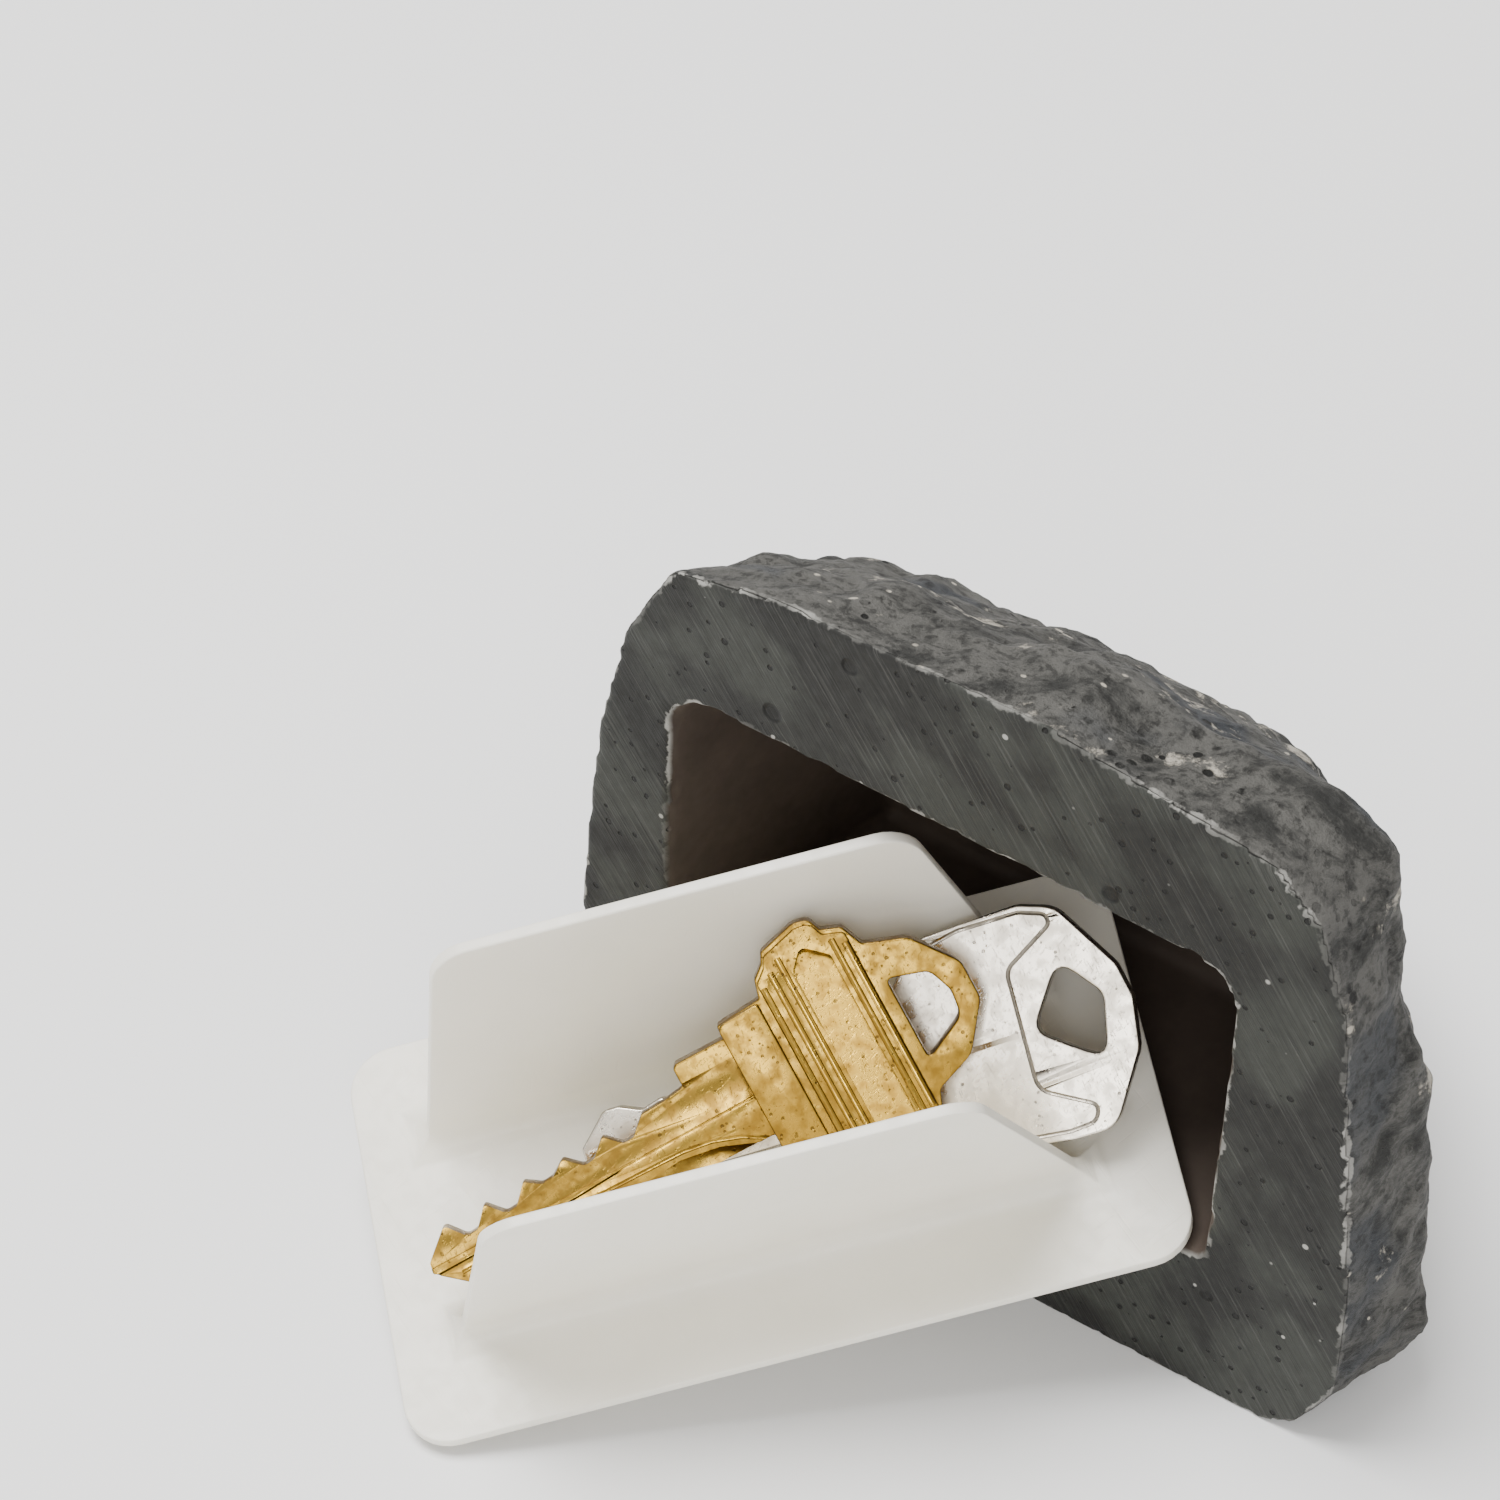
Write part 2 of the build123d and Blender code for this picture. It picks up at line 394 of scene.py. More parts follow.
@dataclass
class StoneShell:
    """Cast stone shell: the frame's solid, roughened outside and left smooth in its hollow."""

    face_y: float = -20.0
    mouth_width: float = 61.2
    mouth_height: float = 36.8
    mouth_middle: float = 36.3
    mouth_roll: float = 1.9
    hollow_depth: float = 28.4
    hollow_end_length: float = 47.5
    hollow_draft: float = 7.0
    cell: float = 0.62
    skin_blend: float = 6.0
    worn_passes: int = 14
    sawn_edge_reach: float = 1.0
    sawn_edge_passes: int = 7
    lump_size: float = 13.0
    lump_push: float = 1.0
    ridge_size: float = 12.0
    ridge_push: float = 0.5
    grit_size: float = 3.0
    grit_push: float = 0.26
    chip_reach: float = 1.1
    chip_size: float = 3.4
    chip_push: float = 0.5

    def build(self) -> bpy.types.Object:
        """Makes the shell's mesh.

        Returns:
            The finished shell, in metres.
        """
        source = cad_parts["rock_shell"]
        piece = bpy.data.objects.new("stone_shell", source.data.copy())
        bpy.context.scene.collection.objects.link(piece)
        piece.data.transform(Matrix.Scale(1 / MM, 4))
        with shaping(piece):
            bpy.ops.mesh.select_all(action="SELECT")
            bpy.ops.mesh.remove_doubles(threshold=0.001)
        finish_with(piece, "REMESH", mode="VOXEL", voxel_size=self.cell)
        self.soften(piece)
        self.roughen(piece)
        settle(piece, Matrix.Identity(4))
        take(piece)
        bpy.ops.object.shade_smooth()
        return piece

    def soften(self, piece: bpy.types.Object) -> None:
        """Wears down the skin's facets, then evens the outline of the sawn face."""
        group = piece.vertex_groups.new(name="worn")
        places = np.array([vertex.co for vertex in piece.data.vertices])
        hollow = self.in_hollow(places)
        depth = np.clip((places[:, 1] - self.face_y - 0.4) / 3.0, 0, 1)
        rest = np.clip(places[:, 2] / 2.0, 0, 1)
        weights = np.round(depth * rest * ~hollow, 1)
        for weight in np.unique(weights[weights > 0]):
            group.add([int(i) for i in np.nonzero(weights == weight)[0]], float(weight), "REPLACE")
        finish_with(piece, "SMOOTH", factor=0.7, iterations=self.worn_passes,
                    vertex_group=group.name)
        edge = piece.vertex_groups.new(name="sawn_edge")
        near = np.abs(places[:, 1] - self.face_y) < self.sawn_edge_reach
        near &= places[:, 2] > 0.8
        edge.add([int(i) for i in np.nonzero(near)[0]], 1.0, "REPLACE")
        finish_with(piece, "SMOOTH", factor=0.5, iterations=self.sawn_edge_passes,
                    vertex_group=edge.name)

    def in_hollow(self, place: np.ndarray) -> np.ndarray:
        """Which points lie on or in the drafted hollow."""
        turn = math.radians(self.mouth_roll)
        x, y, z = place[:, 0], place[:, 1] - self.face_y, place[:, 2] - self.mouth_middle
        across = x * math.cos(turn) - z * math.sin(turn)
        up = x * math.sin(turn) + z * math.cos(turn)
        shrink = y * math.tan(math.radians(self.hollow_draft)) - 0.35
        taper = (self.mouth_width - self.hollow_end_length) / 2 * y / self.hollow_depth - 0.35
        return (
            (np.abs(across) < self.mouth_width / 2 - taper)
            & (np.abs(up) < self.mouth_height / 2 - shrink)
            & (y > 0.3)
            & (y < self.hollow_depth + 0.4)
        )

    def roughen(self, piece: bpy.types.Object) -> None:
        """Marks the zones, lumps the skin and chips the rims."""
        mesh = piece.data
        count = len(mesh.vertices)
        place = np.empty(count * 3, np.float32)
        mesh.vertices.foreach_get("co", place)
        place = place.reshape(-1, 3)
        normal = np.empty(count * 3, np.float32)
        mesh.vertex_normals.foreach_get("vector", normal)
        normal = normal.reshape(-1, 3)
        hollow = self.in_hollow(place)
        sawn = (np.abs(place[:, 1] - self.face_y) < 0.45) & ~hollow
        skin = ~(hollow | sawn)
        place[sawn & (normal[:, 1] < -0.8), 1] = self.face_y

        edges = np.empty(len(mesh.edges) * 2, np.int32)
        mesh.edges.foreach_get("vertices", edges)
        edges = edges.reshape(-1, 2)
        kinds = skin * 1 + hollow * 2
        at_rim = np.unique(edges[kinds[edges[:, 0]] != kinds[edges[:, 1]]])
        at_rim = at_rim[np.abs(place[at_rim, 1] - self.face_y) < 1.5]
        tree = KDTree(len(at_rim))
        for index in at_rim:
            tree.insert(place[index], int(index))
        tree.balance()
        rim = np.array([tree.find(point)[2] for point in place])

        depth = np.clip((place[:, 1] - self.face_y) / self.skin_blend, 0, 1)
        rest = np.clip((place[:, 2] - 0.2) / 2.5, 0, 1)
        weight = skin * (0.15 + 0.85 * depth) * rest
        push = np.zeros(count)
        for index in np.nonzero(weight > 0)[0]:
            point = Vector(place[index])
            lump = noise.fractal(point / self.lump_size, 0.9, 2.1, 3) * self.lump_push
            fold = noise.ridged_multi_fractal(point / self.ridge_size, 0.9, 2.2, 3, 0.9, 1.6)
            ridge = (fold - 1.1) * self.ridge_push
            grit = noise.fractal(point / self.grit_size, 0.8, 2.1, 3) * self.grit_push
            push[index] = (lump + ridge) * weight[index] + grit * min(1, weight[index] + 0.1)
        for index in np.nonzero(rim < self.chip_reach)[0]:
            flaw = noise.fractal(Vector(place[index]) / self.chip_size, 0.7, 2.0, 3)
            chip = max(0.0, flaw - 0.12)
            push[index] -= chip * (self.chip_reach - rim[index]) * self.chip_push
        place += normal * push[:, None]
        place[:, 2] = np.maximum(place[:, 2], 0)
        mesh.vertices.foreach_set("co", place.ravel())
        for zone, values in ((Zone.SKIN, skin), (Zone.HOLLOW, hollow), (Zone.RIM, rim)):
            layer = mesh.attributes.new(zone.value, "FLOAT", "POINT")
            layer.data.foreach_set("value", values.astype(np.float32))
        mesh.update()


# ---- Tray -------------------------------------------------------------------------------
@dataclass
class KeyTray:
    """White plastic tray: a flat plate with two leaning flanges that keep the keys in."""

    length: float = 75.2
    width: float = 42.0
    plate: float = 1.3
    corner: float = 4.5
    flange_height: float = 28.0
    flange_thickness: float = 1.2
    flange_root: float = 60.3
    flange_top: float = 45.0
    flange_top_radius: float = 3.0
    root_offset: float = 10.6
    lean: float = 8.98
    gutter: float = 2.6
    flange_shift: float = -1.0

    def build(self) -> bpy.types.Object:
        """Makes the plate, stands the flanges on it and rounds their roots.

        Returns:
            The finished tray, in metres.
        """
        tray = block("plastic_tray", (0, 0, 0), (self.length, self.width, self.plate))
        with shaping(tray, "EDGE"):
            pick_edges(tray, lambda a, b: abs(a.z - b.z) > self.plate / 2)
            bpy.ops.mesh.bevel(offset=self.corner, segments=8)
        for side in (-1, 1):
            carve(tray, self.flange(side), "UNION")
        with shaping(tray, "EDGE"):
            level = self.plate
            middle_x, middle_y = self.length / 2 + self.flange_shift, self.width / 2

            def at_root(a: Vector, b: Vector) -> bool:
                """Edges where a flange meets the plate."""
                return all(
                    abs(p.z - level) < 0.02
                    and abs(abs(p.y - middle_y) - self.root_offset) < 1.6
                    and abs(p.x - middle_x) < self.flange_root / 2 + 0.1
                    for p in (a, b)
                )

            pick_edges(tray, at_root)
            bpy.ops.mesh.bevel(offset=self.gutter, segments=5, profile=0.5)
        finish_with(tray, "BEVEL", width=0.22, segments=2, limit_method="ANGLE",
                    angle_limit=math.radians(50))
        smooth(tray, 40)
        finish_with(tray, "WEIGHTED_NORMAL", keep_sharp=True)
        settle(tray, TRAY_LAY.matrix())
        return tray

    def flange(self, side: int) -> bpy.types.Object:
        """One flange, as it stands on the plate.

        Args:
            side: -1 for the near one, 1 for the far one.

        Returns:
            The flange, sunk into the plate by half its thickness.
        """
        middle = self.width / 2 + side * self.root_offset
        centre = self.length / 2 + self.flange_shift
        outer, inner = middle, middle - side * self.flange_thickness
        foot = self.plate / 2
        wall = block(
            "flange",
            (centre - self.flange_root / 2, min(outer, inner), foot),
            (centre + self.flange_root / 2, max(outer, inner), self.flange_height),
        )
        shift = side * (self.flange_height - self.plate) * math.tan(math.radians(self.lean))
        with shaping(wall):
            pick_vertices(wall, lambda p: p.z > self.plate)
            bpy.ops.transform.resize(
                value=(self.flange_top / self.flange_root, 1, 1),
                center_override=(centre, 0, 0),
            )
            bpy.ops.transform.translate(value=(0, shift, 0))
        with shaping(wall, "EDGE"):
            pick_edges(wall, lambda a, b: a.z > self.plate and b.z > self.plate
                       and abs(a.y - b.y) > self.flange_thickness / 2)
            bpy.ops.mesh.bevel(offset=self.flange_top_radius, segments=6)
        return wall


# ---- Keys -------------------------------------------------------------------------------
def stroke(path: Sequence[Point2], radius: float, height: float) -> bpy.types.Object:
    """Round bar along a path, to cut a groove or to stand as a rib.

    Args:
        path: The bar's middle line, across the key.
        radius: The bar's radius.
        height: Height of its middle over the key's mid plane.

    Returns:
        The bar, closed at both ends.
    """
    curve = bpy.data.curves.new("stroke", "CURVE")
    curve.dimensions = "3D"
    curve.bevel_depth, curve.bevel_resolution, curve.use_fill_caps = radius, 2, True
    spline = curve.splines.new("POLY")
    spline.points.add(len(path) - 1)
    for point, (x, y) in zip(spline.points, path):
        point.co = (x, y, height, 1)
    bar = bpy.data.objects.new("stroke", curve)
    bpy.context.scene.collection.objects.link(bar)
    take(bar)
    bpy.ops.object.convert(target="MESH")
    with shaping(bar):
        bpy.ops.mesh.select_all(action="SELECT")
        bpy.ops.mesh.remove_doubles(threshold=0.001)
        bpy.ops.mesh.normals_make_consistent(inside=False)
    return bar


def sunk(outline: Sequence[Point2], depth: float, surface: float) -> bpy.types.Object:
    """Block that sinks an outline into a key's upper face when it is carved out.

    Args:
        outline: The sunken part's outline.
        depth: How deep it goes.
        surface: Height of the face over the key's mid plane.

    Returns:
        The block.
    """
    tool = blank("sunk", [outline], 2.0, 0.0)
    tool.data.transform(Matrix.Translation((0, 0, surface - depth + 1.0)))
    return tool


def mark_edge_shade(key: bpy.types.Object, sunk_below: float, sunk_mark: float) -> None:
    """Marks a key's cut sides and sunken faces, where its finish paints shade.

    Args:
        key: The key, still in its own lay.
        sunk_below: Height over the mid plane under which a level face counts as sunken.
        sunk_mark: How strongly a sunken face is marked for painted shade.
    """
    # Painted shade: cut sides and sunken faces are marked so that the finish darkens them as
    # shade.
    marks = key.data.attributes.new("painted_edge_shade", "FLOAT", "FACE")
    for face, mark in zip(key.data.polygons, marks.data):
        if abs(face.normal.z) < 0.75:
            mark.value = 1.0
        elif abs(face.center.z) < sunk_below:
            mark.value = sunk_mark


@dataclass
class NickelKey:
    """Nickel house key with an angular bow, an engraved border and a plain cut blade."""

    length: float = 54.0
    thickness: float = 2.0
    blade: float = 7.8
    blade_length: float = 32.0
    bow: float = 22.3
    line: float = 0.21
    tooth_pitch: float = 4.2
    tooth_depths: tuple[float, ...] = (0.9, 1.8, 1.1, 2.0, 1.4)
    lay: Lay = field(default_factory=lambda: key_lay((21.7, 23.3, 4.3), (75.3, 21.6, 11.6), 30))

    def rim(self) -> list[Point2]:
        """Outline of the whole key, tip at the origin."""
        half, bow, start, end = self.blade / 2, self.bow / 2, self.blade_length - 1, self.length
        teeth = []
        for index, depth in enumerate(self.tooth_depths):
            x = 4.5 + index * self.tooth_pitch
            teeth.append((x + self.tooth_pitch * 0.5, half - depth, 0.6))
            teeth.append((x + self.tooth_pitch, half - 0.3, 0.6))
        return rounded([
            (0, -1, 0.4), (0, 1, 0.4), (3, half, 1), (4.5, half, 1), *teeth, (start, half, 0.5),
            (start + 1.5, bow * 0.62, 1), (start + 5, bow * 0.96, 2.5), (end - 8, bow, 3),
            (end - 4.6, bow * 0.9, 3), (end - 0.6, bow * 0.3, 2.5), (end, 0, 2),
            (end - 0.8, -bow * 0.42, 3), (end - 5, -bow, 3), (end - 9, -bow, 1),
            (start + 5, -bow * 0.9, 2), (start + 1.5, -bow * 0.62, 1), (start, -half, 0.5),
            (3, -half, 1),
        ])

    def hole(self) -> list[Point2]:
        """Outline of the hole in the bow."""
        end, bow = self.length, self.bow / 2
        return rounded([(end - 9.8, -0.5, 1.6), (end - 5.8, bow * 0.46, 1.4),
                        (end - 2.6, bow * 0.1, 1.8), (end - 4, -bow * 0.43, 1.3)])

    def build(self) -> bpy.types.Object:
        """Makes the key.

        Returns:
            The finished key, in metres.
        """
        key = blank("nickel_house_key", [self.rim(), self.hole()], self.thickness, 0.24)
        end, bow, top = self.length, self.bow / 2, self.thickness / 2
        border = rounded([
            (end - 19.5, bow - 1.9, 0), (end - 14, bow - 0.75, 3), (end - 8, bow - 0.75, 2),
            (end - 5.6, bow - 1.6, 1.2), (end - 5.5, bow - 2.6, 0.8),
            (end - 10.6, bow * 0.5, 1.6), (end - 11, -bow * 0.52, 2),
            (end - 6.0, -bow * 0.77, 1), (end - 6.6, -bow + 1.1, 1.4), (end - 9.2, -bow + 0.9, 1),
            (end - 16, -bow + 1.6, 1), (end - 19.5, -bow + 2.8, 0),
        ])
        for side in (top, -top):
            carve(key, stroke(border, self.line, side))
            carve(key, stroke([(2, -1.1), (self.blade_length - 2, -1.1)], 0.5, side))
        # Painted shade on the cut sides and in the engraved lines.
        mark_edge_shade(key, top - 0.03, 1.0)
        smooth(key, 32)
        finish_with(key, "WEIGHTED_NORMAL", keep_sharp=True)
        settle(key, self.lay.matrix())
        return key


@dataclass
class BrassKey:
    """Brass house key: a milled blade, a collar, a ribbed band and a looped bow."""

    length: float = 57.0
    thickness: float = 2.2
    blade: float = 8.4
    blade_length: float = 34.0
    bow: float = 24.7
    collar: float = 14.4
    collar_length: float = 4.6
    collar_thickness: float = 3.1
    loop_length: float = 8.0
    band_thickness: float = 2.9
    stop_length: float = 5.4
    stop_width: float = 1.7
    rib_radius: float = 0.34
    tooth_pitch: float = 4.2
    tooth_start: float = 3.0
    tooth_relief: float = 1.5
    tooth_depths: tuple[float, ...] = (3.4, 3.2, 2.4, 2.7, 2.6)
    lay: Lay = field(default_factory=lambda: key_lay((6.0, 14.4, 8.9), (61.6, 25.5, 16.0), 38))

    def band_side(self) -> list[tuple[float, float, float]]:
        """Upper side of the bow from the collar to the loop, with corner radii."""
        bow, start = self.bow / 2, self.blade_length + self.collar_length
        stop = self.length - self.loop_length
        return [
            (start, self.collar / 2 + 0.4, 0.3), (start + 0.5, bow * 0.76, 0.5),
            (start + 1.7, bow * 0.84, 0.5), (start + 2.2, bow * 0.92, 0.6),
            (stop - 4.4, bow, 1.8), (stop - 2.9, bow * 0.97, 1), (stop - 2.4, bow * 0.86, 0.5),
            (stop - 0.5, bow * 0.8, 0.5), (stop + 0.4, bow * 0.62, 0.8),
        ]

    def rim(self) -> list[Point2]:
        """Outline of the whole key, tip at the origin."""
        half, start, end = self.blade / 2, self.blade_length, self.length
        crest = half - self.tooth_relief
        teeth = []
        for index, depth in enumerate(self.tooth_depths):
            x = self.tooth_start + index * self.tooth_pitch
            teeth.append((x + self.tooth_pitch * 0.36, half - depth, 0.7))
            teeth.append((x + self.tooth_pitch * 0.62, half - depth + 0.1, 0.5))
            teeth.append((x + self.tooth_pitch, crest + index * 0.12, 0.35))
        side = self.band_side()
        loop = [(end - 3.6, self.bow / 2 * 0.5, 2.4), (end - 0.4, self.bow / 2 * 0.16, 2.0)]
        return rounded([
            (0, -0.8, 0.3), (0.2, 0.2, 0.3), (self.tooth_start, crest, 0.5), *teeth,
            (start - self.stop_length - 2.2, half - 0.9, 0.8),
            (start - self.stop_length, half - 0.6, 0.4),
            (start - self.stop_length, half + 1.4, 0.5),
            (start - self.stop_length + 0.4, half + self.stop_width, 0.3),
            (start, half + self.stop_width, 0.2), (start, self.collar / 2, 0.3), *side, *loop,
            *[(x, -y, r) for x, y, r in reversed(loop)],
            *[(x, -y, r) for x, y, r in reversed(side)],
            (start, -self.collar / 2, 0.3), (start, -half, 0.3), (4, -half, 1.5),
        ])

    def hole(self) -> list[Point2]:
        """Outline of the hole in the loop."""
        end, bow = self.length, self.bow / 2
        return rounded([(end - 7.2, bow * 0.3, 0.5), (end - 3.4, bow * 0.2, 1.4),
                        (end - 2.5, 0, 1.2), (end - 2.8, -bow * 0.2, 1.4),
                        (end - 7.2, -bow * 0.38, 0.5)])

    def mill_blade(self, key: bpy.types.Object) -> None:
        """Mills the blade's step, its two grooves and its pointed scoop."""
        top, last = self.thickness / 2, self.blade_length
        carve(key, sunk([(-1, -0.35), (last, -0.1), (last, self.blade / 2 - 0.15),
                         (-1, self.blade / 2 - 0.15)], 0.35, top))
        groove = [(-1, -1.1), (14.8, -0.75), (20.3, -0.4), (last, -0.25)]
        carve(key, stroke(groove, 0.24, top - 0.2))
        carve(key, stroke([(2.5, -1.9), (17.3, -1.5), (25.6, -1.6), (28.5, -2.0), (31.1, -2.9),
                           (33.4, -4.2)], 0.2, top))
        carve(key, sunk([(20.6, -2.6), (25.2, -2.2), (29, -2.8), (33.5, -4.6), (31.5, -5.2),
                         (23, -5.2)], 0.55, top))
        carve(key, stroke([(2, 0.2), (last - 1, 0.2)], 0.55, -top))

    def raise_band(self, key: bpy.types.Object) -> None:
        """Adds the collar block and the bow's ribbed band with its bare recess."""
        first, half = self.blade_length, self.collar / 2
        stop = self.length - self.loop_length
        start = first + self.collar_length
        collar = rounded([(first, -half, 0.5), (first, half, 0.8),
                          (start - 0.25, half + 0.2, 0.4), (start - 0.25, -half - 0.2, 0.4)])
        carve(key, blank("collar", [collar], self.collar_thickness, 0.2), "UNION")
        side = self.band_side()[1:-1]
        inset = [(x, y - 0.45, r) for x, y, r in side]
        band = rounded([*inset, *[(x, -y, r) for x, y, r in reversed(inset)]])
        carve(key, blank("band", [band], self.band_thickness, 0.15), "UNION")
        level = self.band_thickness / 2
        plaque = rounded([(start + 4.0, -8.6, 0.4), (start + 4.0, 8.4, 0.6),
                          (start + 5.6, 10.2, 0.8), (stop - 2.6, 8.2, 0.6),
                          (stop - 2.6, -8.6, 0.4)])
        carve(key, sunk(plaque, 0.38, level))
        for x, reach in ((start + 0.9, 8.3), (start + 2.1, 9.3), (start + 3.3, 10.2),
                         (stop - 1.9, 9.4), (stop - 0.9, 8.6)):
            rib = stroke([(x, -reach), (x, reach)], self.rib_radius, level - 0.05)
            carve(key, rib, "UNION")

    def build(self) -> bpy.types.Object:
        """Makes the key.

        Returns:
            The finished key, in metres.
        """
        key = blank("brass_house_key", [self.rim(), self.hole()], self.thickness, 0.2)
        self.mill_blade(key)
        self.raise_band(key)
        finish_with(key, "BEVEL", width=0.07, segments=2, limit_method="ANGLE",
                    angle_limit=math.radians(38))
        # Painted shade on the cut sides and, fainter, in the milled recesses.
        mark_edge_shade(key, self.thickness / 2 - 0.3, 0.4)
        smooth(key, 30)
        settle(key, self.lay.matrix())
        return key


# ---- Finishes ---------------------------------------------------------------------------
def new_group(name: str, numbers: Sequence[str], results: Sequence[str]) -> Wiring:
    """Empty shared effect that reads a point and numbers and puts out values.

    Args:
        name: The group's name.
        numbers: Names of its number inputs, after Vector.
        results: Names of its outputs.

    Returns:
        The group's wiring, with its two end nodes.
    """
    tree = bpy.data.node_groups.new(name, "ShaderNodeTree")
    tree.interface.new_socket("Vector", in_out="INPUT", socket_type="NodeSocketVector")
    for number in numbers:
        tree.interface.new_socket(number, in_out="INPUT", socket_type="NodeSocketFloat")
    for result in results:
        tree.interface.new_socket(result, in_out="OUTPUT", socket_type="NodeSocketFloat")
    return Wiring(tree)


def make_dots() -> bpy.types.NodeTree:
    """Shared effect: scattered round dots of many sizes, as pores, pits and flecks are.

    Returns:
        A group that reads Vector, Cell (spacing in metres), Radius (the largest, as a share
        of the spacing) and Share (how many cells hold one), and puts out Mask.
    """
    wiring = new_group("scattered_dots", ("Cell", "Radius", "Share"), ("Mask",))
    start = wiring.tree.nodes.new("NodeGroupInput").outputs
    scale = wiring.sum("DIVIDE", 1.0, start["Cell"])
    cells = wiring.put("TexVoronoi", {"Vector": start["Vector"], "Scale": scale})
    chance = wiring.put("SeparateColor", {0: cells.outputs["Color"]}).outputs
    radius = wiring.sum("MULTIPLY", start["Radius"], wiring.sum("ADD", 0.25, chance[0]))
    inside = wiring.sum("SUBTRACT", 1.0, wiring.sum("DIVIDE", cells.outputs["Distance"], radius))
    dot = wiring.band(inside, 0.0, 0.35)
    chosen = wiring.sum("LESS_THAN", chance[1], start["Share"])
    end = wiring.tree.nodes.new("NodeGroupOutput")
    wiring.tree.links.new(wiring.sum("MULTIPLY", dot, chosen), end.inputs["Mask"])
    return wiring.tree


def make_wear() -> bpy.types.NodeTree:
    """Shared effect: handling marks, as fine scratches and small rubbed patches.

    Returns:
        A group that reads Vector and Length (of a scratch, in metres), and puts out Scratches
        and Rubbed.
    """
    wiring = new_group("handling_wear", ("Length",), ("Scratches", "Rubbed"))
    start = wiring.tree.nodes.new("NodeGroupInput").outputs
    length = start["Length"]
    size = wiring.put("CombineXYZ", {"X": length, "Y": wiring.sum("MULTIPLY", length, 0.02),
                                     "Z": wiring.sum("MULTIPLY", length, 0.1)}).outputs[0]
    both = None
    for turn in (0.4, 1.9):
        turned = wiring.put("VectorRotate", {"Vector": start["Vector"], "Angle": turn})
        drawn = wiring.put("VectorMath", {0: turned.outputs[0], 1: size}, operation="DIVIDE")
        lines = wiring.put("TexNoise", {"Vector": drawn.outputs[0], "Scale": 1.0, "Detail": 2.0})
        line = wiring.band(lines.outputs["Fac"], 0.62, 0.72)
        both = line if both is None else wiring.sum("MAXIMUM", both, line)
    patches = wiring.put("TexNoise", {"Vector": start["Vector"], "Scale": 620.0, "Detail": 6.0})
    end = wiring.tree.nodes.new("NodeGroupOutput")
    wiring.tree.links.new(both, end.inputs["Scratches"])
    wiring.tree.links.new(wiring.band(patches.outputs["Fac"], 0.4, 0.65), end.inputs["Rubbed"])
    return wiring.tree


@dataclass(frozen=True)
class SharedEffects:
    """Node groups that several finishes use."""

    dots: bpy.types.NodeTree = field(default_factory=make_dots)
    wear: bpy.types.NodeTree = field(default_factory=make_wear)

    def scatter(self, wiring: Wiring, place: object, cell: float, radius: float,
                share: float) -> object:
        """Places scattered dots in a material and returns their mask.

        Args:
            wiring: The material's wiring.
            place: The point that the pattern reads.
            cell: Spacing of the dots, in metres.
            radius: The largest dot's radius, as a share of the spacing.
            share: How many of the cells hold a dot.
        """
        node = wiring.tree.nodes.new("ShaderNodeGroup")
        node.node_tree = self.dots
        wiring.tree.links.new(place, node.inputs["Vector"])
        for name, value in (("Cell", cell), ("Radius", radius), ("Share", share)):
            node.inputs[name].default_value = value
        return node.outputs["Mask"]

    def handled(self, wiring: Wiring, place: object, length: float) -> tuple[object, object]:
        """Places handling marks in a material and returns its scratches and rubbed patches."""
        node = wiring.tree.nodes.new("ShaderNodeGroup")
        node.node_tree = self.wear
        wiring.tree.links.new(place, node.inputs["Vector"])
        node.inputs["Length"].default_value = length
        return node.outputs["Scratches"], node.outputs["Rubbed"]


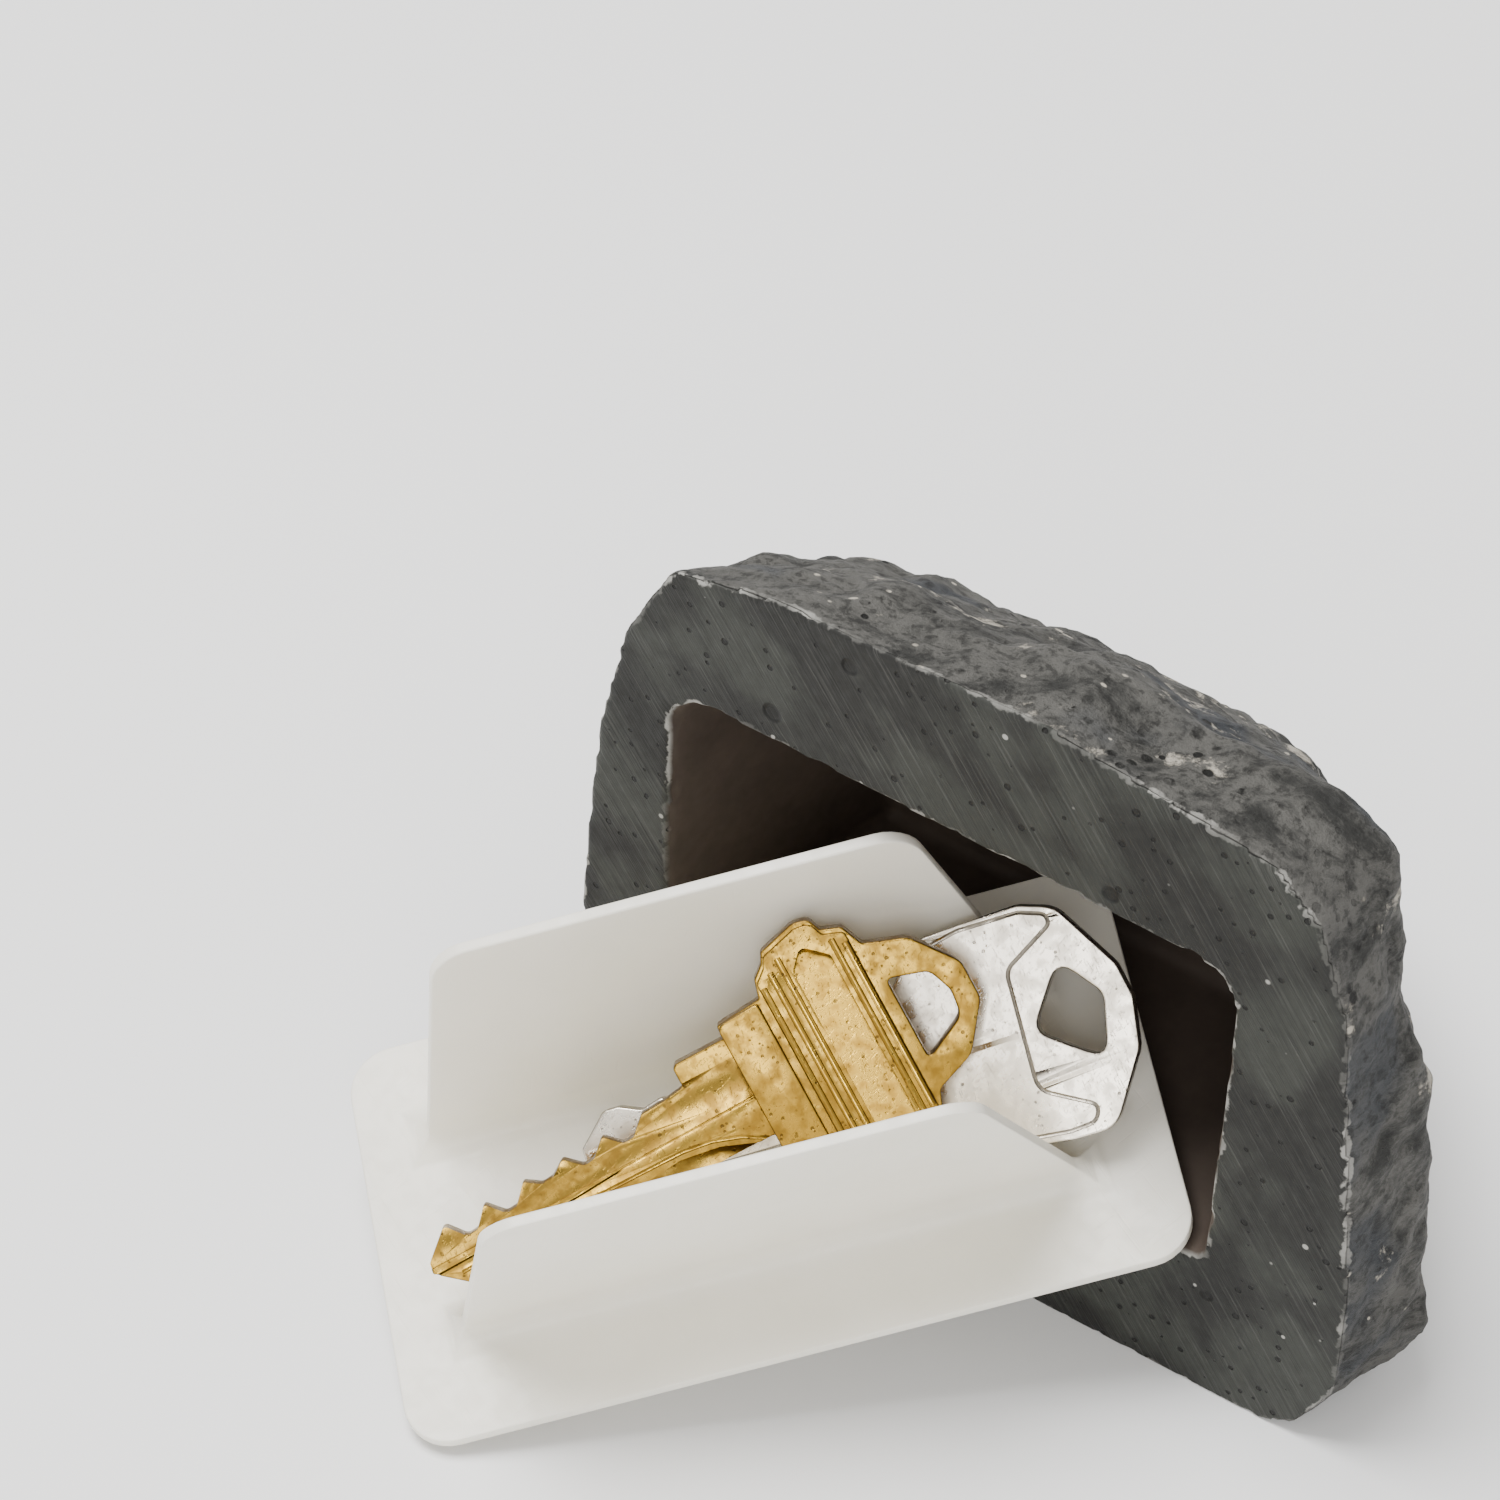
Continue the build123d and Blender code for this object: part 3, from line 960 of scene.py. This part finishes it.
@dataclass(frozen=True)
class StoneFinish:
    """Marbled cast stone: weathered skin, sawn face with pores, smooth dark hollow."""

    charcoal: tuple[float, ...] = colour(0.026, 0.026, 0.024)
    grey: tuple[float, ...] = colour(0.104, 0.101, 0.093)
    blue_black: tuple[float, ...] = colour(0.024, 0.030, 0.041)
    cream: tuple[float, ...] = colour(0.50, 0.46, 0.385)
    soot: tuple[float, ...] = colour(0.008, 0.008, 0.007)
    sawn_dark: tuple[float, ...] = colour(0.015, 0.015, 0.0135)
    sawn_light: tuple[float, ...] = colour(0.034, 0.036, 0.031)
    chip: tuple[float, ...] = colour(0.42, 0.41, 0.38)
    hollow: tuple[float, ...] = colour(0.085, 0.064, 0.05)
    hollow_shade: tuple[float, ...] = colour(0.04, 0.03, 0.024)
    saw_angle: float = 54.0

    def skin(self, wiring: Wiring, effects: SharedEffects, place: object) -> tuple[object, object]:
        """Weathered outside.

        Returns:
            Its colour and its height in metres.
        """
        swirl = wiring.put("TexNoise", {"Vector": place, "Scale": 1 / 0.024, "Detail": 3.0})
        offset = wiring.put("VectorMath", {0: swirl.outputs["Color"], 1: (0.5, 0.5, 0.5)},
                            operation="SUBTRACT")
        pulled = wiring.put("VectorMath", {0: offset.outputs[0], 1: (0.009,) * 3, 2: place},
                            operation="MULTIPLY_ADD").outputs[0]
        strata = wiring.stretched(pulled, (0, 22, 0), (0.017, 0.006, 0.0026))
        layers = wiring.put("TexNoise", {"Vector": strata, "Scale": 1.0, "Detail": 9.0,
                                         "Roughness": 0.76}).outputs["Fac"]
        base = wiring.blend(wiring.band(layers, 0.38, 0.58), self.charcoal, self.grey)
        blue = wiring.band(wiring.grain(pulled, 0.026, 3), 0.55, 0.63)
        base = wiring.stain(blue, 0.6, base, self.blue_black)
        depth = wiring.put("SeparateXYZ", {0: place}).outputs["Y"]
        paler = wiring.band(depth, -0.016, 0.012)
        cloud = wiring.grain(pulled, 0.011, 9, 0.74)
        cloud = wiring.sum("ADD", cloud, wiring.sum("MULTIPLY", paler, 0.055))
        cream = wiring.band(cloud, 0.60, 0.66)
        pits = effects.scatter(wiring, place, 0.0018, 0.34, 0.7)
        near_cream = wiring.band(cloud, 0.53, 0.6)
        pits = wiring.sum("MULTIPLY", pits, wiring.sum("ADD", 0.35, near_cream, True))
        base = wiring.stain(cream, 0.9, base, self.cream)
        base = wiring.blend(pits, base, self.soot)
        flecks = effects.scatter(wiring, place, 0.0028, 0.16, 0.28)
        base = wiring.blend(flecks, base, self.cream)
        grit = wiring.grain(place, 0.0011, 5, 0.7)
        base = wiring.stain(wiring.band(grit, 0.5, 0.38), 0.6, base, self.soot)
        height = wiring.sum("MULTIPLY", layers, 0.0009)
        rough = wiring.add(grit, 0.0006, height)
        return base, wiring.add(pits, -0.00045, rough)

    def sawn(self, wiring: Wiring, effects: SharedEffects, place: object) -> tuple[object, object]:
        """Flat sawn face.

        Returns:
            Its colour and its height in metres.
        """
        along = wiring.stretched(place, (0, self.saw_angle, 0), (0.011, 0.003, 0.00022))
        marks = wiring.put("TexNoise", {"Vector": along, "Scale": 1.0, "Detail": 3.0,
                                        "Roughness": 0.6}).outputs["Fac"]
        broad = wiring.stretched(place, (0, self.saw_angle, 0), (0.024, 0.01, 0.006))
        bands = wiring.put("TexNoise", {"Vector": broad, "Scale": 1.0,
                                        "Detail": 4.0}).outputs["Fac"]
        patches = wiring.grain(place, 0.016, 4, 0.5, 0.6)
        tone = wiring.sum("ADD", wiring.sum("MULTIPLY", patches, 0.6),
                          wiring.sum("MULTIPLY", bands, 0.4))
        base = wiring.blend(wiring.band(tone, 0.44, 0.58), self.sawn_dark, self.sawn_light)
        dark_marks = wiring.band(marks, 0.48, 0.36)
        pale_marks = wiring.band(marks, 0.56, 0.7)
        base = wiring.stain(dark_marks, 0.32, base, self.soot)
        base = wiring.stain(pale_marks, 0.07, base, self.chip)
        large = effects.scatter(wiring, place, 0.0046, 0.22, 0.6)
        small = effects.scatter(wiring, place, 0.0017, 0.2, 0.5)
        pores = wiring.sum("MAXIMUM", large, small)
        base = wiring.stain(pores, 0.92, base, self.soot)
        flecks = effects.scatter(wiring, place, 0.0034, 0.10, 0.3)
        base = wiring.stain(flecks, 0.8, base, self.chip)
        height = wiring.sum("MULTIPLY", marks, 0.00016)
        return base, wiring.add(pores, -0.0005, height)

    def make(self, effects: SharedEffects) -> bpy.types.Material:
        """Builds the material from its three zones.

        Args:
            effects: The shared node groups.

        Returns:
            The material.
        """
        material, wiring, shader = new_material("cast_stone")
        place = wiring.put("TexCoord").outputs["Object"]

        def mark(zone: Zone) -> object:
            """Reads one zone's mark from the mesh."""
            return wiring.put("Attribute", attribute_name=zone.value).outputs["Fac"]

        skin, skin_height = self.skin(wiring, effects, place)
        sawn, sawn_height = self.sawn(wiring, effects, place)
        is_skin, is_hollow = wiring.band(mark(Zone.SKIN), 0.3, 0.7), mark(Zone.HOLLOW)
        tint = wiring.blend(is_skin, sawn, skin)
        crumbs = wiring.grain(place, 0.0013, 3)
        patchy = wiring.band(wiring.grain(place, 0.009, 3), 0.42, 0.6)
        reach = wiring.put("MapRange", {"Value": crumbs, "From Min": 0.4, "From Max": 0.65,
                                        "To Min": 0.05, "To Max": 0.6}).outputs[0]
        chipped = wiring.band(wiring.sum("SUBTRACT", reach, mark(Zone.RIM)), 0.0, 0.3)
        chipped = wiring.sum("MULTIPLY", chipped, wiring.sum("ADD", 0.25, patchy))
        tint = wiring.blend(wiring.sum("MULTIPLY", chipped, 0.55, True), tint, self.chip)
        dim = wiring.blend(wiring.grain(place, 0.006, 5), self.hollow, self.hollow_shade)
        tint = wiring.blend(is_hollow, tint, dim)
        height = wiring.put("Mix", {0: is_skin, 2: sawn_height, 3: skin_height},
                            data_type="FLOAT").outputs[0]
        height = wiring.sum("MULTIPLY", height, wiring.sum("SUBTRACT", 1.0, is_hollow))
        bump = wiring.put("Bump", {"Height": height, "Strength": 1.0, "Distance": 1.0})
        gloss = wiring.put("MapRange", {"Value": crumbs, "To Min": 0.5, "To Max": 0.85})
        wiring.give(shader, Base_Color=tint, Roughness=gloss.outputs[0], Normal=bump.outputs[0],
                    Specular_IOR_Level=0.28)
        return material


@dataclass(frozen=True)
class PlasticFinish:
    """Milky moulded plastic, faintly mottled and rubbed."""

    base: tuple[float, ...] = colour(0.93, 0.885, 0.77)
    cloudy: tuple[float, ...] = colour(0.87, 0.83, 0.715)

    def make(self, effects: SharedEffects) -> bpy.types.Material:
        """Builds the material with the shared effects."""
        material, wiring, shader = new_material("white_plastic")
        place = wiring.put("TexCoord").outputs["Object"]
        scratches, rubbed = effects.handled(wiring, place, 0.02)
        cloud = wiring.band(wiring.grain(place, 0.018, 4), 0.35, 0.7)
        tint = wiring.blend(cloud, self.base, self.cloudy)
        dust = effects.scatter(wiring, place, 0.009, 0.025, 0.3)
        tint = wiring.stain(dust, 0.6, tint, colour(0.2, 0.19, 0.17))
        gloss = wiring.put("MapRange", {"Value": rubbed, "To Min": 0.34, "To Max": 0.46})
        swell = wiring.sum("MULTIPLY", wiring.grain(place, 0.004), 0.00005)
        ripple = wiring.add(scratches, -0.00001, swell)
        bump = wiring.put("Bump", {"Height": ripple, "Distance": 1.0})
        wiring.give(shader, Base_Color=tint, Roughness=gloss.outputs[0], Normal=bump.outputs[0],
                    Subsurface_Weight=0.25, Subsurface_Scale=0.004)
        shader.inputs["Subsurface Radius"].default_value = (1.0, 0.95, 0.8)
        return material


@dataclass(frozen=True)
class KeyMetalFinish:
    """Handled key metal: dark specks, scratches and rubbed patches, and painted shade on its cut
    sides and sunken faces.
    """

    name: str
    bright: tuple[float, ...]
    dull: tuple[float, ...]
    speck_and_shade: tuple[float, ...]
    speck_share: float
    smooth: float
    rough: float

    def make(self, effects: SharedEffects) -> bpy.types.Material:
        """Builds the material with the shared effects."""
        material, wiring, shader = new_material(self.name)
        place = wiring.put("TexCoord").outputs["Object"]
        scratches, rubbed = effects.handled(wiring, place, 0.006)
        tint = wiring.blend(rubbed, self.bright, self.dull)
        specks = effects.scatter(wiring, place, 0.0005, 0.34, self.speck_share)
        specks = wiring.sum("MULTIPLY", specks, wiring.band(wiring.grain(place, 0.004), 0.4, 0.6))
        tint = wiring.stain(specks, 0.75, tint, self.speck_and_shade)
        # Painted shade: cut sides and sunken faces are darkened towards the speck colour.
        edges = wiring.put("Attribute", attribute_name="painted_edge_shade").outputs["Fac"]
        tint = wiring.stain(edges, 0.72, tint, self.speck_and_shade)
        gloss = wiring.put("MapRange", {"Value": rubbed, "To Min": self.smooth,
                                        "To Max": self.rough})
        height = wiring.add(scratches, -0.000012, wiring.sum("MULTIPLY", specks, -0.00004))
        bump = wiring.put("Bump", {"Height": height, "Distance": 1.0})
        wiring.give(shader, Base_Color=tint, Roughness=gloss.outputs[0], Normal=bump.outputs[0],
                    Metallic=1.0)
        return material


@dataclass(frozen=True)
class PaperFinish:
    """Plain pale studio floor."""

    base: tuple[float, ...] = colour(0.95, 0.95, 0.95)

    def make(self) -> bpy.types.Material:
        """Builds the material."""
        material, wiring, shader = new_material("studio_paper")
        place = wiring.put("TexCoord").outputs["Object"]
        fibre = wiring.band(wiring.grain(place, 0.5), 0.3, 0.7)
        wiring.give(shader, Base_Color=wiring.blend(fibre, self.base, colour(0.955, 0.955, 0.955)),
                    Roughness=0.95)
        return material


# ---- Studio -----------------------------------------------------------------------------
@dataclass
class Studio:
    """Pale floor, soft light and the camera at the photograph's viewing angle."""

    azimuth: float = 35.8
    elevation: float = 42.0
    distance: float = 457.7
    target: Point3 = (-21.05, -20.0, 53.0)
    lens: float = 120.5

    def floor(self) -> None:
        """Lays the pale floor."""
        bpy.ops.object.select_all(action="DESELECT")
        bpy.ops.mesh.primitive_plane_add(size=6, location=(0, 0, 0))
        floor = bpy.context.active_object
        floor.name = "studio_floor"
        bpy.ops.object.transform_apply(location=True, rotation=True, scale=True)
        floor.data.materials.append(PaperFinish().make())

    def lamp(self, name: str, place: Point3, size: float, power: float) -> None:
        """Hangs one square soft box that faces the object.

        Args:
            name: The lamp's name.
            place: Where it hangs, in metres.
            size: Length of its side, in metres.
            power: Its power in watts.
        """
        data = bpy.data.lights.new(name, "AREA")
        data.shape, data.size, data.energy = "SQUARE", size, power
        lamp = bpy.data.objects.new(name, data)
        lamp.location = place
        facing = Vector((0, 0, 0.03)) - Vector(place)
        lamp.rotation_euler = facing.to_track_quat("-Z", "Y").to_euler()
        bpy.context.scene.collection.objects.link(lamp)

    def light(self) -> None:
        """Sets the pale surround and hangs the soft boxes."""
        world = bpy.data.worlds.new("pale_surround")
        world.use_nodes = True
        backdrop = world.node_tree.nodes["Background"]
        backdrop.inputs["Color"].default_value = colour(1.0, 0.982, 0.95)
        backdrop.inputs["Strength"].default_value = 0.70
        bpy.context.scene.world = world
        self.lamp("overhead_box", (-0.25, -0.1, 0.9), 0.5, 13)
        self.lamp("front_box", (0.5, -0.9, 0.6), 0.6, 6)

    def camera(self) -> None:
        """Stands the camera where the photograph was taken from."""
        data = bpy.data.cameras.new("photo_camera")
        data.lens, data.sensor_width = self.lens, 36.0
        data.clip_start = 0.01
        camera = bpy.data.objects.new("photo_camera", data)
        turn, rise = math.radians(self.azimuth), math.radians(self.elevation)
        back = Vector((math.sin(turn) * math.cos(rise), -math.cos(turn) * math.cos(rise),
                       math.sin(rise)))
        camera.location = (Vector(self.target) + back * self.distance) * MM
        camera.rotation_euler = back.to_track_quat("Z", "Y").to_euler()
        bpy.context.scene.collection.objects.link(camera)
        bpy.context.scene.camera = camera

    def build(self) -> None:
        """Sets up the whole studio."""
        self.floor()
        self.light()
        self.camera()


def dress(piece: bpy.types.Object, finish: bpy.types.Material, body: str, node: str) -> None:
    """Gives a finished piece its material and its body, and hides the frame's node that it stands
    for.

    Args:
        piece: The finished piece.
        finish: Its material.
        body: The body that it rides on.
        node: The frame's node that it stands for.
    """
    piece.data.materials.clear()
    piece.data.materials.append(finish)
    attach(piece, body)
    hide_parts(node)
    log.info("%s: %d faces", piece.name, len(piece.data.polygons))


def main() -> None:
    """Builds, dresses and lights the whole object."""
    logging.basicConfig(level=logging.INFO, format="%(message)s")
    effects = SharedEffects()
    plastic = PlasticFinish().make(effects)
    # The third colour of each metal is both its specks and its painted shade on sides and
    # recesses.
    nickel = KeyMetalFinish("nickel_silver", colour(0.95, 0.88, 0.76), colour(0.88, 0.81, 0.69),
                            colour(0.16, 0.14, 0.11), 0.25, 0.24, 0.42).make(effects)
    brass = KeyMetalFinish("key_brass", colour(0.50, 0.31, 0.048), colour(0.33, 0.19, 0.028),
                           colour(0.07, 0.04, 0.015), 0.6, 0.26, 0.45).make(effects)
    dress(StoneShell().build(), StoneFinish().make(effects), "shell", "rock_shell")
    dress(KeyTray().build(), plastic, "tray", "key_tray")
    dress(NickelKey().build(), nickel, "nickel_key", "nickel_key")
    dress(BrassKey().build(), brass, "brass_key", "brass_key")
    Studio().build()


if __name__ == "__main__":
    main()
